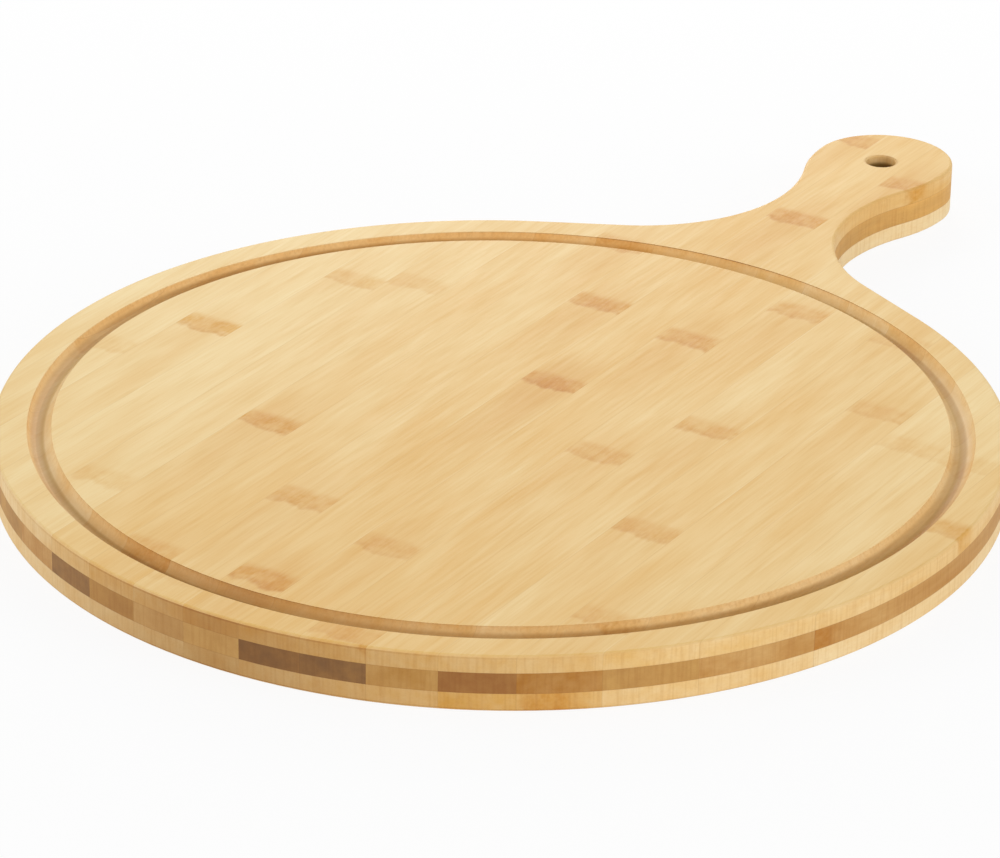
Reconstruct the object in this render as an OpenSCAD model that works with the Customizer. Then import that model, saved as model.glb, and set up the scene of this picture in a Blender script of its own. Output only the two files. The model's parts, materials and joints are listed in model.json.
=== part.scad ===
// Round serving board with a handle, glued up from three plies of bamboo laths.
// Millimetres. The origin is the middle of the round part on the underside.
// +Z is up and +Y runs from the middle of the board out along the handle.

/* [Board] */
// Diameter of the round part
disc_d = 320; // [280:5:360]
// Thickness of the top ply
top_t = 5.5; // [4.5:0.1:8]
// Thickness of the core ply
core_t = 6.6; // [4:0.1:9]
// Thickness of the base ply
base_t = 5.9; // [4:0.1:8]
// Width of one bamboo lath
lath_w = 19.6; // [19:0.1:25]
// Radius that eases the upper and lower edges of the rim
ease_r = 1; // [0.5:0.1:1.5]

/* [Juice groove] */
// Width of the groove at the top face
groove_w = 7.7; // [7:0.1:10]
// Depth of the groove
groove_depth = 3.2; // [2:0.1:3.4]
// Distance from the rim to the outer edge of the groove
groove_inset = 10.9; // [8:0.1:20]

/* [Handle] */
// Distance from the round part's edge to the end of the handle
handle_reach = 122.5; // [112:0.5:150]
// Width of the rounded head of the handle
head_w = 49.2; // [44:0.2:56]
// Width of the neck at its narrowest
neck_w = 29.5; // [26:0.5:36]
// Distance from the centre of the head back to the narrowest place
neck_setback = 48.8; // [44:0.2:52]
// Radius of the hollow sweep where the handle leaves the round part
throat_r = 60; // [40:1:70]
// Radius of the swelling flank below the head
flank_r = 57; // [50:1:64]
// Diameter of the hanging hole
hole_d = 10.5; // [8:0.5:14]
// Width of the ease sanded round both ends of the hanging hole
hole_ease = 0.5; // [0.3:0.1:1]
// Distance from the end of the handle to the centre of the hanging hole
hole_inset = 26.3; // [20:0.1:32]

/* [Hidden] */
disc_r = disc_d / 2;
board_t = base_t + core_t + top_t;
core_z = base_t;
top_z = base_t + core_t;
hole_r = hole_d / 2;
// Flats that the easing of the rim is sanded in
ease_flats = 3;
// How far a cut runs past the face that it opens
overrun = 2;
// Thinnest lath that is still glued on at the rim, as a share of a full lath
edge_lath_share = 0.2;
// Longest throat radius, as a share of the one that would leave no straight flank
throat_limit_share = 0.97;
// Neighbouring stretches of the handle's outline cross by a hair, so that they join cleanly
hair = 0.01;
// How far the easing of one stretch runs out over the next, in degrees and in length
run_out_a = 3;
run_out = 2;
$fn = 96;

// Bamboo tones, from the palest face lath to the darkest core lath
face_tones = ["#ead7a6", "#e6d09b", "#eddcb0", "#e2ca92"];
core_tones = ["#e3cc96", "#c99d62", "#a9743f", "#8a5630"];
// Tone of each core lath, counted out from the middle to the left and to the right
core_left = [0, 1, 2, 3, 1, 3, 2, 1, 2, 1];
core_right = [0, 3, 3, 0, 2, 1, 2, 1, 1, 2];

// Laths are numbered from left to right, and the one on the handle's centre line keeps its number
middle_lath = 9;
side_laths = floor((disc_r - lath_w / 2) / lath_w + 1 - edge_lath_share);
first_lath = middle_lath - side_laths;
last_lath = middle_lath + side_laths;

// Key places along the handle, measured from the middle of the board
head_r = head_w / 2;
end_y = disc_r + handle_reach;
head_y = end_y - head_r;
neck_x = neck_w / 2;
neck_y = head_y - neck_setback;
hole_y = end_y - hole_inset;

// The throat arc is hollow and meets the straight flank that runs off the disc
throat_limit = (neck_y * neck_y + neck_x * neck_x - disc_r * disc_r) / (2 * (disc_r - neck_x));
throat = min(throat_r, throat_limit * throat_limit_share);
throat_c = [neck_x + throat, neck_y];
root_a = atan2(throat_c.y, throat_c.x) - acos((disc_r + throat) / norm(throat_c));
root_out = [cos(root_a), sin(root_a)];
root_p = disc_r * root_out;
throat_p = throat_c - throat * root_out;

// The flank swells out to the head, and a hollow arc joins it to the neck
flank_c = [head_r - flank_r, head_y];
flank_dx = neck_x - flank_c.x;
waist = (flank_dx * flank_dx + neck_setback * neck_setback - flank_r * flank_r) / (2 * (head_r - neck_x));
waist_c = [neck_x + waist, neck_y];
waist_a = atan2(waist_c.y - flank_c.y, waist_c.x - flank_c.x);
waist_p = flank_c + flank_r * [cos(waist_a), sin(waist_a)];

// Radii as cut, where each stretch reaches past its neighbour by one more hair
flank_cut = flank_r - hair;
waist_cut = waist + 2 * hair;
throat_cut = throat + 3 * hair;

// Right side of the neck, from the middle of the board up to the flank
neck_points = [
    [0, 0],
    root_p - hair * root_out,
    throat_p - hair * root_out,
    [waist_p.x, neck_y],
    [waist_p.x, waist_p.y],
];

// A groove with a round bottom: the circle through both edges and the lowest point
groove_r = (groove_w * groove_w / 4 + groove_depth * groove_depth) / (2 * groove_depth);
groove_mid = disc_r - groove_inset - groove_w / 2;

function tag(i) = str(i < 10 ? "0" : "", i);
function lath_name(ply, i) = str(ply, "_lath_", tag(i));

// Edges of a lath across the board. The two outermost run on past the rim.
function left_x(i) = i == first_lath ? -disc_r - overrun : (i - middle_lath - 0.5) * lath_w;
function right_x(i) = i == last_lath ? disc_r + overrun : (i - middle_lath + 0.5) * lath_w;
function crosses(i, half_span) = right_x(i) > -half_span && left_x(i) < half_span;
function under_handle(i) = crosses(i, root_p.x);
function core_tone(i) = i < middle_lath ? core_left[middle_lath - i] : core_right[i - middle_lath];

// The same points on the left side, taken back down so that both sides make one closed outline
function mirrored(points) = [for (k = [len(points) - 1:-1:1]) [-points[k].x, points[k].y]];

// Outline of the handle, from inside the round part to the end of the head
module handle_plan() {
    translate([0, head_y]) circle(head_r);
    intersection() {
        translate(flank_c) circle(flank_cut);
        mirror([1, 0]) translate(flank_c) circle(flank_cut);
        translate([-head_r, waist_p.y]) square([head_w, head_y - waist_p.y]);
    }
    difference() {
        polygon(concat(neck_points, mirrored(neck_points)));
        for (side = [0, 1]) mirror([side, 0]) {
            translate(throat_c) circle(throat_cut);
            intersection() {
                translate(waist_c) circle(waist_cut);
                translate([0, neck_y]) square([2 * waist_c.x, waist_c.y]);
            }
        }
    }
}

// Plan of one lath: its strip of the board's outline
module lath_plan(i) {
    intersection() {
        union() {
            circle(disc_r);
            if (under_handle(i)) handle_plan();
        }
        translate([left_x(i), -disc_r - overrun])
            square([right_x(i) - left_x(i), disc_r + end_y + 2 * overrun]);
    }
}

// Waste that an easing cutter takes off a corner: the wall is at x = 0 and the face at y = 0
module corner_waste() {
    flat_a = 90 / ease_flats;
    arc = [for (k = [0:ease_flats]) ease_r * [sin(k * flat_a) - 1, cos(k * flat_a) - 1]];
    polygon([[-ease_r, overrun], each arc, [overrun, -ease_r], [overrun, overrun]]);
}

// Cutter along an arc of the rim. A hollow arc has its waste on the inside.
module ease_arc(centre, radius, from_a, to_a, hollow = false) {
    translate(centre)
        rotate_extrude(start = from_a, angle = to_a - from_a)
            translate([radius, 0]) mirror([hollow ? 1 : 0, 0]) corner_waste();
}

// Cutter along the straight flank between the disc and the throat
module ease_straight() {
    rotate([0, 0, root_a]) translate([disc_r - hair, -run_out, 0]) rotate([90, 0, 180]) mirror([1, 0, 0])
        linear_extrude(norm(throat_p - root_p) + run_out) corner_waste();
}

// All the cutters for the upper edge that a lath can meet, with the top face at z = 0
module ease_rim(i) {
    ease_arc([0, 0], disc_r, 180 - root_a, 360 + root_a);
    if (under_handle(i)) {
        ease_arc([0, head_y], head_r, 0, 180);
        for (side = [0, 1]) mirror([side, 0, 0]) {
            ease_straight();
            ease_arc(throat_c, throat_cut, 180 - run_out_a, 180 + root_a + run_out_a, true);
            ease_arc(waist_c, waist_cut, 180 + waist_a - run_out_a, 180, true);
            ease_arc(flank_c, flank_cut, waist_a, run_out_a);
        }
    }
}

// Drill for the hanging hole, which also eases the edge of the hole at the face at z = 0 and above
module hanging_drill(i) {
    if (crosses(i, hole_r + hole_ease)) translate([0, hole_y, 0]) {
        translate([0, 0, -board_t - overrun]) cylinder(r = hole_r, h = board_t + 2 * overrun);
        translate([0, 0, -hole_ease])
            cylinder(r1 = hole_r, r2 = hole_r + hole_ease + overrun, h = hole_ease + overrun);
    }
}

module juice_groove() {
    translate([0, 0, board_t + groove_r - groove_depth])
        rotate_extrude() translate([groove_mid, 0]) circle(groove_r);
}

// Lath of the serving face, with the groove and the eased upper edge
module top_lath(i) {
    color(face_tones[i % len(face_tones)]) difference() {
        translate([0, 0, top_z]) linear_extrude(top_t) lath_plan(i);
        juice_groove();
        translate([0, 0, board_t]) {
            ease_rim(i);
            hanging_drill(i);
        }
    }
}

// Lath of the core, some of it darkened by heat treatment
module core_lath(i) {
    color(core_tones[core_tone(i)]) difference() {
        translate([0, 0, core_z]) linear_extrude(core_t) lath_plan(i);
        translate([0, 0, board_t]) hanging_drill(i);
    }
}

// Lath of the underside, with the eased lower edge
module base_lath(i) {
    color(face_tones[(i + 1) % len(face_tones)]) difference() {
        linear_extrude(base_t) lath_plan(i);
        mirror([0, 0, 1]) {
            ease_rim(i);
            hanging_drill(i);
        }
    }
}

for (i = [first_lath:last_lath]) {
    top_lath(i);
    core_lath(i);
    base_lath(i);
}
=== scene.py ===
import json
import math
import bpy
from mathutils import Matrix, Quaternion, Vector


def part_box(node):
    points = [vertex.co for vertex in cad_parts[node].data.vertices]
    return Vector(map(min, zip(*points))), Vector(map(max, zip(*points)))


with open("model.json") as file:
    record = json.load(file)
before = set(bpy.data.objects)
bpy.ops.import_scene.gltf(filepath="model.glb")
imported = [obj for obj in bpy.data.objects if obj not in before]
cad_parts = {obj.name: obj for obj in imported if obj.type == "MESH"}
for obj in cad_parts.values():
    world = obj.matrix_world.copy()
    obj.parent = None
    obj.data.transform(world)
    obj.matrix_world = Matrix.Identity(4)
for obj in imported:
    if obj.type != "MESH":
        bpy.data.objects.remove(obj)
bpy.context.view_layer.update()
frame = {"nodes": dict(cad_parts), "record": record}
print("frame loaded,", len(frame["nodes"]), "laths")

mm = 0.001
middleLath = 9  # lath 9 of 17 lies on the handle's centre line
box = {ply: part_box(f"{ply}_lath_{middleLath:02d}") for ply in ("top", "core", "base")}
lathWidth = box["top"][1].x - box["top"][0].x
discRadius = -box["top"][0].y
topZ = box["top"][1].z
handleEnd = box["top"][1].y
plyJoints = [box["base"][1].z, box["core"][1].z]


def direction(around, up):
    # away from the board's middle: degrees round from its foot, and degrees up from the table
    around, up = math.radians(around), math.radians(up)
    return Vector((math.sin(around) * math.cos(up), -math.cos(around) * math.cos(up), math.sin(up)))


def linearColour(hexCode):
    # sRGB hex to the linear values that shaders take
    parts = [int(hexCode[k:k + 2], 16) / 255 for k in (1, 3, 5)]
    return [p / 12.92 if p <= 0.04045 else ((p + 0.055) / 1.055) ** 2.4 for p in parts] + [1]


def add(tree, kind, inputs=(), **settings):
    # one shader node with its settings, values and links: the inputs are in order, or by name or number
    made = tree.nodes.new("ShaderNode" + kind)
    for name, value in settings.items():
        setattr(made, name, value)
    for name, value in inputs.items() if isinstance(inputs, dict) else enumerate(inputs):
        if isinstance(value, bpy.types.NodeSocket):
            tree.links.new(value, made.inputs[name])
        else:
            made.inputs[name].default_value = value
    return made


def newMaterial(name):
    material = bpy.data.materials.new(name)
    material.use_nodes = True
    material.node_tree.nodes.clear()
    return material, material.node_tree


def edge(value, place, offsets):
    # a step for area, which starts and is full this many mm from a place
    start, full = offsets
    return value, place + start * mm, place + full * mm


def area(tree, *steps):
    # 1 where every smooth step (value, where it starts, where it is full) is full
    share = 1.0
    for step in steps:
        smooth = add(tree, "MapRange", step, interpolation_type="SMOOTHSTEP").outputs[0]
        share = add(tree, "Math", (smooth, share), operation="MULTIPLY").outputs[0]
    return share


def stain(tree, wood, where, strength, hexCode):
    # darkens the wood by a see-through stain, which in the groove, the hole and at the underside's edge
    # is painted shade. A Mix node takes colours on 6 and 7, and gives one on 2.
    share = add(tree, "Math", (where, strength), operation="MULTIPLY").outputs[0]
    mixed = {0: share, 6: wood, 7: linearColour(hexCode)}
    return add(tree, "Mix", mixed, data_type="RGBA", blend_type="MULTIPLY").outputs[2]


# Bamboo

# Pale and honey end of each stock, for the slots of the record
bambooStocks = {
    "face_bamboo": ("#EFD19B", "#E0AA46"),
    "core_light": ("#F0CD8C", "#CFA25A"),
    "core_tan": ("#DDB678", "#B98238"),
    "core_brown": ("#C69852", "#A97436"),
    "core_dark": ("#D1A056", "#997140"),
}

# Tone of each lath from the left rim to the right: 0 is the pale end of its stock, 1 the honey end, and
# below 0 is paler still. A pair runs from the foot of the board to the end of the handle.
faceTones = [
    0.0, 0.0, 0.06, (0.0, 0.2), (0.06, 0.26), (0.4, 0.24), (0.4, 0.26), (0.35, 0.46), (0.48, 0.4),
    (0.5, 0.32), (0.5, 0.2), (0.46, 0.1), 0.36, 0.34, (0.52, -0.3), (0.5, -0.3), 0.25,
]
coreTones = [
    0.5, 0.5, 0.5, 0.4, 0.5, 0.85, 0.0, 0.0, 0.0,
    (0.88, -0.28), 1.0, 1.0, 1.0, 1.0, 0.15, 0.6, 0.65,
]
baseTones = [
    0.06, 0.06, 0.12, 0.06, 0.0, 0.0, 0.0, 0.0, 0.05,
    (0.15, -0.3), 0.36, 0.4, 0.7, 0.6, 0.3, 0.18, 0.0,
]

# Layers of noise drawn out along the lath: the mm across, along and up of one strand, the noise's detail
# and roughness, and a seed of its own
grainLayers = {
    "strand": (0.6, 18, 0.6, 2.0, 0.5, 0),       # a bundle of strands
    "streak": (3.2, 60, 3.2, 2.0, 0.5, 11),
    "cloud": (11, 50, 11, 1.0, 0.4, 23),
    "wobble": (6.5, 14, 6.5, 2.0, 0.5, 31),
    "fleck": (0.9, 2.6, 0.9, 2.0, 0.5, 37),
    "cutterMark": (0.9, 0.9, 14, 1.0, 0.5, 41),  # upright lines that the cutter leaves
    "patch": (5.5, 6.5, 5.5, 1.0, 0.5, 53),
}
seedStep = (7.3, 3.1, 5.7)  # how many strands one seed moves a layer, across, along and up
usualNoise = (0.3, 0.7)  # most of a layer's values lie between these

bambooGrain = {
    "swing": {"streak": 0.12, "cloud": 0.15},    # how far they move the tone from pale to honey
    "strandNoise": (0.4, 0.75),                  # where a dark strand starts and is full
    "strandShare": 0.16,
    "strandStain": "#EBD3A6",
}


def readLath(tree, lath, seed):
    # what a material can tell of a point: its place, the way it faces and the grain there
    coordinates = add(tree, "TexCoord").outputs
    x, y, z = add(tree, "SeparateXYZ", [coordinates["Object"]]).outputs
    rightward = add(tree, "SeparateXYZ", [coordinates["Normal"]]).outputs[0]
    facing = add(tree, "VectorMath", [coordinates["Normal"]], operation="ABSOLUTE").outputs[0]
    facing = add(tree, "SeparateXYZ", [facing]).outputs
    offset = add(tree, "Math", (x, lath * lathWidth), operation="SUBTRACT").outputs[0]
    here = {
        "y": y,
        "z": z,
        "plan": add(tree, "CombineXYZ", (x, y)).outputs[0],
        "aside": add(tree, "Math", [offset], operation="ABSOLUTE").outputs[0],  # from the lath's middle
        "rightward": rightward,
        "sideways": facing[0],
        "level": facing[2],  # 1 on a face, 0 on a wall
    }
    for name, (across, along, upwards, detail, roughness, ownSeed) in grainLayers.items():
        shift = [step * (seed + ownSeed) for step in seedStep]
        scale = [1 / (size * mm) for size in (across, along, upwards)]
        drawn = {"Vector": coordinates["Object"], "Location": shift, "Scale": scale}
        drawn = add(tree, "Mapping", drawn).outputs[0]
        noise = {"Vector": drawn, "Scale": 1.0, "Detail": detail, "Roughness": roughness}
        here[name] = add(tree, "TexNoise", noise).outputs["Fac"]
    return here


def toneWood(tree, here, stock, tone):
    # the lath's own tone, with streaks and clouds a little either way
    look = bambooGrain
    foot, end = tone if isinstance(tone, tuple) else (tone, tone)
    swing = add(tree, "MapRange", (here["y"], -discRadius, handleEnd, foot, end)).outputs[0]
    for layer, share in look["swing"].items():
        either = add(tree, "MapRange", (here[layer], *usualNoise, -share, share)).outputs[0]
        swing = add(tree, "Math", (swing, either), operation="ADD").outputs[0]
    pale, honey = (linearColour(code) for code in bambooStocks[stock])
    mixed = {0: swing, 6: pale, 7: honey}  # unclamped, for the tones below 0
    wood = add(tree, "Mix", mixed, data_type="RGBA", clamp_factor=False).outputs[2]
    dark = area(tree, (here["strand"], *look["strandNoise"]))
    return stain(tree, wood, dark, look["strandShare"], look["strandStain"])


# Knuckles, by the lath counted from the middle: mm out along the handle, how dark, and how warm the wood
# round it
faceKnuckles = {
    -7: [(-22, 0.25, 0.1)],
    -6: [(8, 0.9, 0.1)],
    -5: [(65, 0.5, 0.2)],
    -4: [(74, 0.35, 0.15), (-103, 0.3, 0.1)],
    -3: [(-43, 0.85, 0.35)],
    -2: [(-135, 0.55, 0.2), (141, 0.6, 0.25)],
    -1: [(94, 0.8, 0.3), (-82, 0.65, 0.3), (-145, 0.2, 0.1), (269, 0.65, 0.25)],
    0: [(32, 0.9, 0.6), (-132, 0.85, 0.35), (194, 0.85, 0.4)],
    1: [(85, 0.7, 0.3), (-95, 0.5, 0.2), (242, 0.62, 0.5)],
    2: [(124, 0.6, 0.25), (-5, 0.5, 0.2), (-147, 0.5, 0.2)],
    3: [(29, 0.65, 0.25)],
    4: [(121, 0.35, 0.15), (-43, 0.55, 0.2)],
    5: [(70, 0.35, 0.15), (-99, 0.45, 0.2)],
    6: [(53, 0.3, 0.1)],
    7: [(52, 0.25, 0.1)],
    8: [(8, 0.6, 0.25)],
}
coreKnuckles = {8: [(-61, 0.7, 0.3)]}
baseKnuckles = {
    -7: [(30, 0.5, 0.2)],
    -6: [(-100, 0.6, 0.25)],
    -5: [(80, 0.7, 0.3)],
    -3: [(-20, 0.7, 0.3)],
    -2: [(-110, 0.6, 0.25)],
    -1: [(150, 0.6, 0.25)],
    0: [(40, 0.8, 0.3), (-120, 0.5, 0.2)],
    1: [(-60, 0.7, 0.3), (120, 0.6, 0.25)],
    3: [(60, 0.8, 0.3)],
    4: [(100, 0.6, 0.25)],
    5: [(-127, 0.6, 0.25)],
    6: [(-20, 0.6, 0.25)],
    7: [(40, 0.5, 0.2)],
}

# A knuckle is a band across its lath. High and low pairs are the mm from its high or low edge where a
# stain starts and is full.
knuckleLook = {
    "height": 10.5,                      # mm along the lath
    "wander": 1.7,                       # mm either way that its low edge wanders
    "bandLow": (-1.2, 1.0),
    "bandHigh": (1.8, -3.4),
    "bandStain": "#EDCF74",
    "bandTexture": {                     # noise from and to, and the share of the band that it leaves
        "fleck": (0.35, 0.65, 0.75, 1.1),
        "patch": (0.36, 0.62, 0.65, 1.2),
    },
    "scarLow": [(-1.4, 0.0), (3.6, 0.6)],  # ragged line at its low edge, from below and from above
    "scarNoise": (0.2, 0.6),
    "scarShare": 0.2,
    "scarStain": "#D0A868",
    "warmHigh": (24, -2),                # golden wood round it
    "warmLow": (-70, -6),
    "warmAside": (0.55, 0.25),           # lath widths from the lath's middle
    "warmStain": "#F1DEB0",
}


def markKnuckles(tree, wood, here, knuckles):
    # soft grainy bands where the cane had its nodes, each with a wavy scar and warm wood round it
    look = knuckleLook
    wander = look["wander"] * mm
    wobble = add(tree, "MapRange", (here["wobble"], *usualNoise, -wander, wander)).outputs[0]
    waved = add(tree, "Math", (here["y"], wobble), operation="ADD").outputs[0]
    textures = []
    for layer, fromTo in look["bandTexture"].items():
        textures.append(add(tree, "MapRange", (here[layer], *fromTo)).outputs[0])
    nearMiddle = (here["aside"], *(widths * lathWidth for widths in look["warmAside"]))
    for along, strength, warmth in knuckles:
        low = (along - look["height"] / 2) * mm
        high = (along + look["height"] / 2) * mm
        band = area(tree, edge(waved, low, look["bandLow"]), edge(here["y"], high, look["bandHigh"]))
        for texture in textures:
            band = add(tree, "Math", (band, texture), operation="MULTIPLY").outputs[0]
        wood = stain(tree, wood, band, strength, look["bandStain"])
        fromBelow, fromAbove = (edge(waved, low, pair) for pair in look["scarLow"])
        scar = area(tree, fromBelow, fromAbove, (here["fleck"], *look["scarNoise"]))
        wood = stain(tree, wood, scar, look["scarShare"] * strength, look["scarStain"])
        above, below = edge(here["y"], high, look["warmHigh"]), edge(here["y"], low, look["warmLow"])
        wood = stain(tree, wood, area(tree, above, below, nearMiddle), warmth, look["warmStain"])
    return wood


# Cut faces: a pair says how level a surface is, from 0 on a wall to 1, where its look starts and is full
cutLook = {
    "planed": (0.9, 0.99),
    "oilStain": "#FEFDED",               # planed faces, sanded and oiled
    "wall": (0.9, 0.3),
    "alongStrands": 0.75,                # a wall that faces this far sideways was cut along the strands
    "cutStain": "#BFAA89",               # strands cut square across drink most oil
    "markNoise": (0.42, 0.72),           # lines that the cutter left on a wall: the noise there
    "markShare": 0.24,
    "markStain": "#DFC59B",
    "arrisTop": (0.98, 0.86),            # the eased edge, less level than its face
    "arrisFoot": (0.1, 0.3),             # and more than its wall
    "arrisShare": 0.7,
    # oil on the eased edges; at the underside's edge it is painted shade
    "arrisOilAndShadeStain": "#E0C8A0",
}


def squareCut(tree, sideways):
    # 1 where the cutter went square across the strands, 0 where it went along them
    return add(tree, "MapRange", (sideways, 0.0, cutLook["alongStrands"], 1.0, 0.0)).outputs[0]


def oilFaces(tree, wood, here):
    # the oil hardly shows on planed faces, and darkens the walls where the strands end in them
    look = cutLook
    cut = add(tree, "Math", (here["cutShare"], here["square"]), operation="MULTIPLY").outputs[0]
    marks = area(tree, (here["cutterMark"], *look["markNoise"]))
    marks = add(tree, "Math", (here["wall"], marks), operation="MULTIPLY").outputs[0]
    # eased edges where strands end: darker with oil, and on the underside's edge painted shade, the dark
    # line where the board meets the floor
    arris = area(tree, (here["level"], *look["arrisTop"]), (here["level"], *look["arrisFoot"]))
    arris = add(tree, "Math", (arris, cut), operation="MULTIPLY").outputs[0]
    wood = stain(tree, wood, area(tree, (here["level"], *look["planed"])), 1.0, look["oilStain"])
    wood = stain(tree, wood, cut, 1.0, look["cutStain"])
    wood = stain(tree, wood, marks, look["markShare"], look["markStain"])
    return stain(tree, wood, arris, look["arrisShare"], look["arrisOilAndShadeStain"])


# Juice groove: a pair of mm is where its look starts and is full
groove = {
    "outer": discRadius - 10.9 * mm,     # its two lips
    "inner": discRadius - 18.6 * mm,
    "outerLip": (0.3, 0.0),              # mm out from each lip
    "innerLip": (-0.3, 0.0),
    "face": (-0.03, -0.4),               # mm from the face
    "outerWall": (-0.7, 0.7),            # mm out from its middle
    "outerCut": 0.0,                     # share of the cut stain left on each wall
    "innerCut": 0.62,
    "risingAround": 57,                  # degrees from the foot, where the strands rose to the cutter
    "goldMet": (0.45, 0.9, 0.1, 0.85),   # how straight it met them, from and to, and the share of gold
    "goldAndShadeStain": "#FBE6C4",              # the outer wall, cut along with the strands; where it faces right, painted shade
    "scorchMet": (0.6, 1.0),             # how straight it met them where it scorched
    "wall": (-1.5, -2.6),                # mm from the face: walls darker towards the bottom, scorch and painted shade
    "wallShare": 0.8,
    # the groove's bottom, darker all round: partly scorch, partly painted shade
    "bottom": (-2.75, -3.15),
    "bottomShare": 0.66,
    "scorchAndShadeStain": "#C4AC7A",
    "tornNoise": (0.45, 0.62),           # dark flecks of strands that it lifted
    "tornShare": 0.12,
    "rightFacing": (0.0, 0.3),           # walls that face right are more golden, and darker low down: painted shade, for light from the left
    "rightShadeGold": 0.6,
    "rightShade": 0.4,
}


def cutGroove(tree, here):
    # where the groove is, how its cutter met the strands, and how far its walls show their cut ends
    radius = add(tree, "VectorMath", [here["plan"]], operation="LENGTH").outputs["Value"]
    outward = add(tree, "VectorMath", [here["plan"]], operation="NORMALIZE").outputs[0]
    outerLip = edge(radius, groove["outer"], groove["outerLip"])
    innerLip = edge(radius, groove["inner"], groove["innerLip"])
    inside = area(tree, outerLip, innerLip, edge(here["z"], topZ, groove["face"]))
    middle = (groove["inner"] + groove["outer"]) / 2
    outerWall = area(tree, edge(radius, middle, groove["outerWall"]))
    outerWall = add(tree, "Math", (outerWall, inside), operation="MULTIPLY").outputs[0]
    rising = direction(groove["risingAround"], 0)
    met = add(tree, "VectorMath", (outward, rising), operation="DOT_PRODUCT").outputs["Value"]
    here["inside"] = inside
    here["outerWall"] = outerWall
    here["met"] = add(tree, "Math", [met], operation="ABSOLUTE").outputs[0]

    sideways = add(tree, "SeparateXYZ", [outward]).outputs[0]
    sideways = add(tree, "Math", [sideways], operation="ABSOLUTE").outputs[0]
    square = {0: inside, 2: here["square"], 3: squareCut(tree, sideways)}
    here["square"] = add(tree, "Mix", square).outputs[0]
    walls = (outerWall, 0.0, 1.0, groove["innerCut"], groove["outerCut"])
    cutShare = {0: inside, 2: here["cutShare"], 3: add(tree, "MapRange", walls).outputs[0]}
    here["cutShare"] = add(tree, "Mix", cutShare).outputs[0]


def goldAndShadeGroove(tree, wood, here):
    # golden on the outer wall where it was cut along the strands, and painted shade where it faces right
    # painted shade: the outer wall is darker and more golden where it faces right
    facingRight = (here["rightward"], *groove["rightFacing"], 0.0, groove["rightShadeGold"])
    golden = add(tree, "MapRange", facingRight).outputs[0]
    gold = add(tree, "MapRange", (here["met"], *groove["goldMet"])).outputs[0]
    gold = add(tree, "Math", (gold, golden), operation="MAXIMUM").outputs[0]
    gold = add(tree, "Math", (gold, here["outerWall"]), operation="MULTIPLY").outputs[0]
    return stain(tree, wood, gold, 1.0, groove["goldAndShadeStain"])


def scorchAndShadeGroove(tree, wood, here):
    # darker low down: scorch where the cutter met rising strands, deepened towards the bottom as painted
    # shade, painted shade on walls that face right, and along the bottom partly scorch and partly painted
    # shade
    rising = add(tree, "MapRange", (here["met"], *groove["scorchMet"])).outputs[0]
    facingRight = (here["rightward"], *groove["rightFacing"], 0.0, groove["rightShade"])
    darker = add(tree, "MapRange", facingRight).outputs[0]
    share = add(tree, "MapRange", (rising, 0.0, 1.0, 0.0, groove["wallShare"])).outputs[0]
    share = add(tree, "Math", (share, darker), operation="MAXIMUM").outputs[0]
    # painted shade with the scorch: darker towards the bottom of the walls and along the bottom
    low = area(tree, edge(here["z"], topZ, groove["wall"]))
    low = add(tree, "Math", (low, share), operation="MULTIPLY").outputs[0]
    bottom = area(tree, edge(here["z"], topZ, groove["bottom"]))
    bottom = add(tree, "Math", (bottom, groove["bottomShare"]), operation="MULTIPLY").outputs[0]
    scorchAndShade = add(tree, "Math", (low, bottom), operation="MAXIMUM").outputs[0]
    scorchAndShade = add(tree, "Math", (scorchAndShade, here["inside"]), operation="MULTIPLY").outputs[0]
    wood = stain(tree, wood, scorchAndShade, 1.0, groove["scorchAndShadeStain"])
    torn = add(tree, "Math", (rising, here["inside"]), operation="MULTIPLY").outputs[0]
    flecks = area(tree, (here["fleck"], *groove["tornNoise"]))
    torn = add(tree, "Math", (torn, flecks), operation="MULTIPLY").outputs[0]
    return stain(tree, wood, torn, groove["tornShare"], groove["scorchAndShadeStain"])


# Hanging hole: a pair is where its look starts and is full
hangingHole = {
    "centre": handleEnd - 26.3 * mm,
    "reach": (6.5, 5.5),                 # mm from the centre, just past the wall and its eased edge
    "shadeTop": (-2.0, -3.6),             # mm from the face
    "shadeFoot": (1.5, 4.0),              # mm from the underside
    "holeShadeStain": "#9A8C5A",
    "cutShare": 0.5,                     # share of the cut stain left on the wall
}


def boreHole(tree, wood, here):
    # painted shade deep inside the hole, darker between its face and the underside
    centre = (0, hangingHole["centre"], 0)
    reach = add(tree, "VectorMath", (here["plan"], centre), operation="DISTANCE").outputs["Value"]
    bored = area(tree, edge(reach, 0, hangingHole["reach"]))
    # painted shade: the hole's wall darker between the face and the underside
    fromTop = edge(here["z"], topZ, hangingHole["shadeTop"])
    holeShade = area(tree, fromTop, edge(here["z"], 0, hangingHole["shadeFoot"]))
    holeShade = add(tree, "Math", (holeShade, bored), operation="MULTIPLY").outputs[0]
    cutShare = {0: bored, 2: here["cutShare"], 3: hangingHole["cutShare"]}
    here["cutShare"] = add(tree, "Mix", cutShare).outputs[0]
    return stain(tree, wood, holeShade, 1.0, hangingHole["holeShadeStain"])


# Glue hairlines
glueLine = {
    "width": 0.14 * mm,
    "stain": "#B08A58",
    "lathShare": 0.2,
    "plyShare": 0.26,
    "plySpread": 1.5,                    # how much wider a line between plies shows
}


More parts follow.
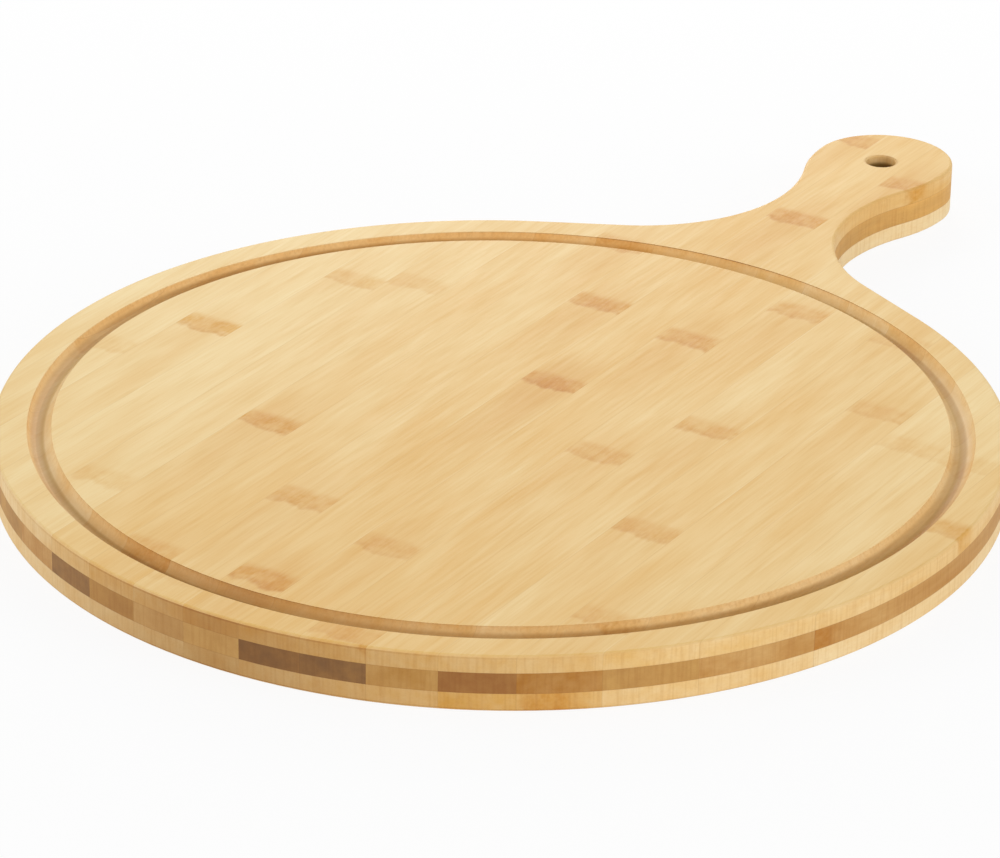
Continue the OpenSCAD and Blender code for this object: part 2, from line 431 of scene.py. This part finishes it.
def glueSeams(tree, wood, here):
    # between the laths and between the plies
    seam = area(tree, (here["aside"], lathWidth / 2 - glueLine["width"], lathWidth / 2))
    wood = stain(tree, wood, seam, glueLine["lathShare"], glueLine["stain"])
    for jointZ in plyJoints:
        above = add(tree, "Math", (here["z"], jointZ), operation="SUBTRACT").outputs[0]
        away = add(tree, "Math", [above], operation="ABSOLUTE").outputs[0]
        joint = area(tree, (away, glueLine["plySpread"] * glueLine["width"], 0.0))
        wood = stain(tree, wood, joint, glueLine["plyShare"], glueLine["stain"])
    return wood


bambooFinish = {
    "roughness": (0.54, 0.64),           # planed, from between the strands to on them
    "cutRoughness": 0.64,
    "ior": 1.45,
    "reliefShare": 0.25,
    "reliefDepth": 0.05 * mm,
}


def bambooMaterial(name, lath, stock, tone, seed, knuckles, grooved, drilled):
    # Laminated bamboo, planed, sanded and oiled: straight pale strands, warm bands where the cane had its
    # knuckles, a low satin sheen, and darker wherever a cutter crossed the strands, with painted shade
    # deep in the groove and the hole
    material, tree = newMaterial(name)
    here = readLath(tree, lath, seed)
    here["wall"] = area(tree, (here["level"], *cutLook["wall"]))
    here["cutShare"] = here["wall"]
    here["square"] = squareCut(tree, here["sideways"])
    wood = toneWood(tree, here, stock, tone)
    wood = markKnuckles(tree, wood, here, knuckles)
    if grooved:
        cutGroove(tree, here)
        wood = goldAndShadeGroove(tree, wood, here)
        wood = scorchAndShadeGroove(tree, wood, here)
    if drilled:
        wood = boreHole(tree, wood, here)
    wood = oilFaces(tree, wood, here)
    wood = glueSeams(tree, wood, here)

    look = bambooFinish
    sheen = add(tree, "MapRange", (here["strand"], *usualNoise, *look["roughness"])).outputs[0]
    rough = add(tree, "Mix", {0: here["wall"], 2: sheen, 3: look["cutRoughness"]}).outputs[0]
    relief = add(tree, "Mix", {0: here["wall"], 2: here["strand"], 3: here["cutterMark"]}).outputs[0]
    raised = {"Strength": look["reliefShare"], "Distance": look["reliefDepth"], "Height": relief}
    normal = add(tree, "Bump", raised).outputs[0]
    surface = {"Base Color": wood, "Roughness": rough, "IOR": look["ior"], "Normal": normal}
    add(tree, "OutputMaterial", [add(tree, "BsdfPrincipled", surface).outputs[0]])
    return material


slots = {row["node"]: row["material_slot"] for row in frame["record"]["subparts"]}
plies = {
    "top": (faceTones, faceKnuckles),
    "core": (coreTones, coreKnuckles),
    "base": (baseTones, baseKnuckles),
}
pliesApart = 20  # seeds from the laths of one ply to those of the next
for order, (ply, (tones, knuckles)) in enumerate(plies.items()):
    for number, tone in enumerate(tones, 1):
        node = f"{ply}_lath_{number:02d}"
        lath = number - middleLath
        seed = order * pliesApart + number
        material = bambooMaterial(
            f"oiledBamboo_{node}", lath, slots[node], tone, seed, knuckles.get(lath, []),
            grooved=ply == "top", drilled=lath == 0)
        mesh = frame["nodes"][node].data  # keeps its shape, only its surface changes
        mesh.materials.clear()
        mesh.materials.append(material)
    print(ply, "ply dressed")


# Studio

studio = {
    "floorSize": 12.0,                   # metres
    "floorLift": 0.05 * mm,              # over the underside, which shows clean from below
    "floorColour": "#F6F6F6",
    "floorWhite": 0.88,                  # share of plain white in the paper that is seen
    "worldStrength": 0.62,
    # degrees round from the foot of the board, degrees up, metres off, metres across, watts
    "softboxes": {
        "left": (-48, 20, 2.8, 1.2, 18.5),
        "front": (31, 20, 4.0, 1.8, 33.0),
        "right": (100, 20, 2.8, 1.2, 16.0),
        "back": (211, 19, 1.2, 0.6, 4.8),
    },
}
white = linearColour("#FFFFFF")


def floorMaterial():
    # white studio paper: seen as good as white, and it still takes the board's shadow
    material, tree = newMaterial("studioPaper")
    paper = add(tree, "BsdfDiffuse", {"Color": linearColour(studio["floorColour"])}).outputs[0]
    glow = add(tree, "Emission", {"Color": white, "Strength": 1.0}).outputs[0]
    path = add(tree, "LightPath").outputs
    seen = path["Is Camera Ray"]
    for ray in ("Is Glossy Ray", "Is Transmission Ray"):
        seen = add(tree, "Math", (seen, path[ray]), operation="MAXIMUM").outputs[0]
    share = add(tree, "Math", (seen, studio["floorWhite"]), operation="MULTIPLY").outputs[0]
    mixed = add(tree, "MixShader", (share, paper, glow)).outputs[0]
    add(tree, "OutputMaterial", [mixed])
    return material


bpy.ops.object.select_all(action="DESELECT")
bpy.ops.mesh.primitive_plane_add(size=studio["floorSize"], location=(0, 0, studio["floorLift"]))
floor = bpy.context.object
floor.name = "studio_floor"
floor.data.materials.append(floorMaterial())

# an even white room, seen as pure white
world = bpy.data.worlds.new("softRoom")
world.use_nodes = True
world.node_tree.nodes.clear()
seen = add(world.node_tree, "LightPath").outputs["Is Camera Ray"]
strength = add(world.node_tree, "MapRange", (seen, 0.0, 1.0, studio["worldStrength"], 1.0)).outputs[0]
room = add(world.node_tree, "Background", {"Color": white, "Strength": strength}).outputs[0]
add(world.node_tree, "OutputWorld", [room])
bpy.context.scene.world = world

for name, (around, up, away, size, power) in studio["softboxes"].items():
    toward = direction(around, up)
    bpy.ops.object.light_add(type="AREA", location=toward * away)
    lamp = bpy.context.object
    lamp.name = name + "_softbox"
    lamp.data.size = size
    lamp.data.energy = power
    lamp.rotation_euler = (-toward).to_track_quat("-Z", "Y").to_euler()
print("studio lit")


# Camera

view = {
    "azimuth": 31.5,                     # degrees round from the foot of the board
    "elevation": 25.28,                  # degrees up from the table
    "distance": 1.519,                   # metres to the middle of the serving face
    "lens": 173.4,                       # mm
    "sensor": 36,                        # mm wide
    "aim": (0.0146, -0.1411, -0.8871),   # degrees of pan, tilt and roll off that middle
}
back = direction(view["azimuth"], view["elevation"])
pan, tilt, roll = (math.radians(angle) for angle in view["aim"])
cameraData = bpy.data.cameras.new("camera")
cameraData.lens = view["lens"]
cameraData.sensor_width = view["sensor"]
cameraObject = bpy.data.objects.new("camera", cameraData)
bpy.context.scene.collection.objects.link(cameraObject)
cameraObject.location = Vector((0, 0, topZ)) + back * view["distance"]
turn = (-back).to_track_quat("-Z", "Y")
turn = turn @ Quaternion((0, 1, 0), pan) @ Quaternion((1, 0, 0), tilt) @ Quaternion((0, 0, 1), -roll)
cameraObject.rotation_euler = turn.to_euler()
bpy.context.scene.camera = cameraObject
bpy.context.scene.view_settings.view_transform = "Standard"

print("camera set")
